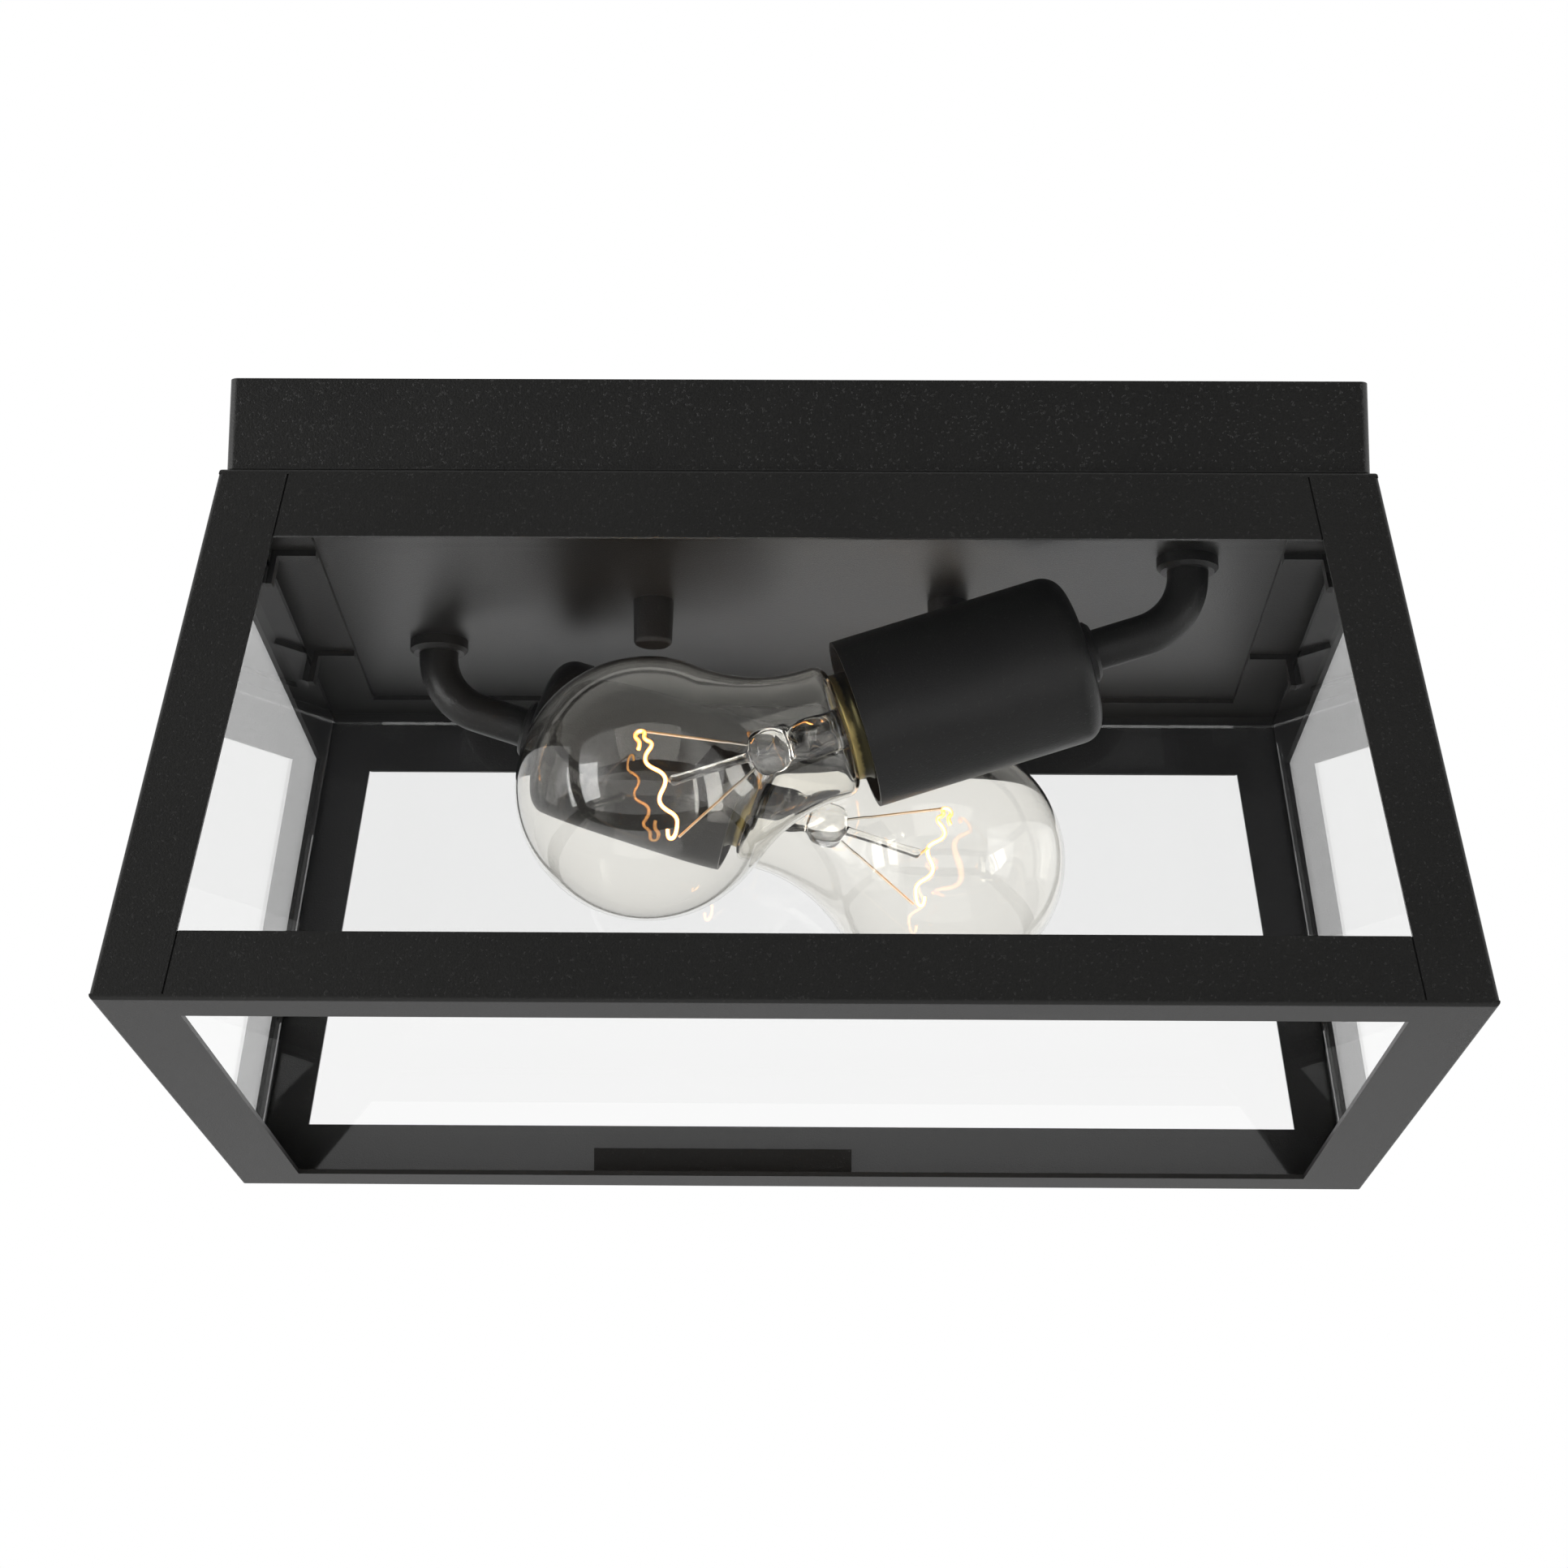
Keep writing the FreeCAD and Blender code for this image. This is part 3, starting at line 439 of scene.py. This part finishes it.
hook = [(8.6, 2.2), (10.2, 1.2), (12.4, 2.2), (13.9, 0.9), (13.0, -0.7), (11.0, 0.4)]
waves = [(8.8, -1.6), (6.4, 1.4), (3.8, 1.7), (0.8, -1.5), (-1.6, -1.4), (-4.2, 1.4)]
far_hook = [(-6.4, 1.2), (-9.0, -1.6), (-11.4, -0.7), (-13.0, 0.6), (-12.6, 2.0), (-11.0, 1.4)]
kinks = hook + waves + far_hook
filament_reach = 43.6
half_span = 13.0
sag = 6.0
for side in places:
    curve = bpy.data.curves.new(side + "_bulb_filament_coil", "CURVE")
    curve.dimensions = "3D"
    curve.bevel_depth = 0.48 * mm
    curve.bevel_resolution = 4
    spline = curve.splines.new("NURBS")
    spline.points.add(len(kinks) - 1)
    for point, (across, along) in zip(spline.points, kinks):
        bow = sag * (1 - (across / half_span) ** 2)
        point.co = (across * mm, -bow * mm, (filament_reach + along) * mm, 1)
    spline.order_u = 3
    spline.use_endpoint_u = True
    coil_piece = bpy.data.objects.new(curve.name, curve)
    curve.materials.append(glow.material)
    bpy.context.scene.collection.objects.link(coil_piece)
    seat(coil_piece, side, "glowing_filament", "filament")

nickel = Finish("nickel_wire")
drawn = nickel.place.grain(0.6 * mm, 3.0)
# Painted light: the wires within about 16 mm of each filament glow orange, as painted light of the
# filament falling on them.
lit_spots = [place @ Vector((0, 0, filament_reach * mm)) for place in places.values()]
gaps = [nickel.place.sum("DISTANCE", nickel.place, tuple(spot)) for spot in lit_spots]
painted_filament_glow = 1.0 - gaps[0].sum("MINIMUM", *gaps).above(16 * mm, 4.5 * mm)
nickel.set({
    "Base Color": drawn.blend((0.50, 0.46, 0.40), (0.74, 0.70, 0.62)),
    "Metallic": 1.0,
    "Roughness": 0.22 + drawn * 0.15,
    "Emission Color": painted_filament_glow.blend((0.0, 0.0, 0.0), (0.40, 0.21, 0.07)),
    "Emission Strength": 1.0})
nickel.on("front_bulb_wires", "rear_bulb_wires")


# ---------------------------------------------------------------- floor, room, light and camera
# A pale paper floor, about a metre below the ceiling. It mirrors in the coat only as much
# as a floor in shade would.

paper = Finish("pale_floor")
fibre = paper.place.grain(20 * mm, 3.0)
mirrored = paper.from_node("ShaderNodeLightPath", "Is Glossy Ray")
looked_at = paper.from_node("ShaderNodeLightPath", "Is Camera Ray")
looked_at = looked_at + paper.from_node("ShaderNodeLightPath", "Is Transmission Ray")
pale = mirrored * 0.16 + looked_at.above(0.5, 0.1) * 0.5
paper.set({
    "Base Color": fibre.blend((0.82, 0.82, 0.82), (0.86, 0.86, 0.86)),
    "Roughness": 0.8,
    "Emission Color": pale.blend((0.0, 0.0, 0.0), (1.0, 1.0, 1.0)),
    "Emission Strength": 1.0})
reach, depth = 6.0, -0.95
corners = [(-reach, -reach, depth), (reach, -reach, depth), (reach, reach, depth), (-reach, reach, depth)]
floor = new_piece("floor", corners, [(0, 1, 2, 3)], paper)

# The room: white where the camera sees it, also through glass, with a soft light that
# comes mostly from below. Panes and coat mirror a dark wall behind the camera and a window
# on its left.

world = bpy.data.worlds.new("studio")
bpy.context.scene.world = world
world.use_nodes = True
backdrop = world.node_tree.nodes["Background"]
path = world.node_tree.nodes.new("ShaderNodeLightPath")
rays = {name: Tone(world.node_tree, path.outputs[name]) for name in path.outputs.keys()}
camera_ray = rays["Is Camera Ray"]
seen = camera_ray.sum("MAXIMUM", camera_ray, rays["Is Glossy Ray"])
seen = seen.sum("MAXIMUM", seen, rays["Is Transmission Ray"])
heading = seen.node("ShaderNodeTexCoord", {}, "Generated")
rise = seen.node("ShaderNodeSeparateXYZ", {"Vector": heading}, "Z")


def around(direction, level, softness):
    """1 about a direction of the room and 0 away from it."""
    return heading.sum("DOT_PRODUCT", heading, direction).above(level, softness)


wall_behind = around((0.12, -0.957, 0.262), 0.865, 0.075)
wall_behind = wall_behind + around((0.10, -0.980, -0.170), 0.90, 0.05)
wall_behind = wall_behind + around((0.0, -0.64, 0.77), 0.91, 0.05) * 0.8
mirror = wall_behind * rays["Glossy Depth"].above(0.5, 0.1)
window = around((-0.84, -0.52, -0.14), 0.90, 0.04)
glint = mirror.blend((1.0, 1.0, 1.0), (0.05, 0.05, 0.052)) + window * 1.6
soft = (0.5 - rise * 0.5).blend((0.10, 0.10, 0.10), (0.75, 0.75, 0.74))
light = camera_ray.blend(seen.blend(soft, glint), (1.0, 1.0, 1.0))
world.node_tree.links.new(light.socket, backdrop.inputs["Color"])


def soft_lamp(name, place, target, size, watts):
    """A large square lamp at a place, turned to a target."""
    data = bpy.data.lights.new(name, "AREA")
    data.shape = "SQUARE"
    data.size = size
    data.energy = watts
    lamp = bpy.data.objects.new(name, data)
    bpy.context.scene.collection.objects.link(lamp)
    lamp.location = place
    lamp.rotation_euler = (Vector(target) - Vector(place)).to_track_quat("-Z", "Y").to_euler()
    lamp.visible_camera = False
    lamp.visible_glossy = False


middle = (0, 0, -0.08)
soft_lamp("lamp_below", (0, -0.35, -0.9), middle, 0.9, 4.0)
soft_lamp("lamp_left", (-1.3, -0.9, -0.2), middle, 0.8, 14.0)
soft_lamp("lamp_right", (1.3, -0.9, -0.2), middle, 0.8, 3.0)

# What the lit filaments throw on the glass, the cups and the canopy.

for side, place in places.items():
    data = bpy.data.lights.new("glow_" + side, "POINT")
    data.energy = 0.045
    data.color = (1.0, 0.55, 0.2)
    data.shadow_soft_size = 5 * mm
    lamp = bpy.data.objects.new("glow_" + side, data)
    bpy.context.scene.collection.objects.link(lamp)
    lamp.location = place @ Vector((0, 0, 43 * mm))
    lamp.visible_camera = False
    lamp.visible_glossy = False
    lamp.visible_transmission = False

# The camera stands about a metre off, a little below the lantern, and looks up into it.

eye = bpy.data.cameras.new("camera")
eye.lens = 95.864
eye.sensor_width = 36.0
camera = bpy.data.objects.new("camera", eye)
bpy.context.scene.collection.objects.link(camera)
yaw, pitch, roll = math.radians(0.72), math.radians(14.78), math.radians(0.43)
aim = Matrix.Rotation(yaw, 4, "Z") @ Matrix.Rotation(math.radians(90) + pitch, 4, "X")
aim = aim @ Matrix.Rotation(roll, 4, "Z")
camera.matrix_world = Matrix.Translation((8.3 * mm, -949.5 * mm, -316.1 * mm)) @ aim
bpy.context.scene.camera = camera
bpy.context.scene.view_settings.view_transform = "Standard"
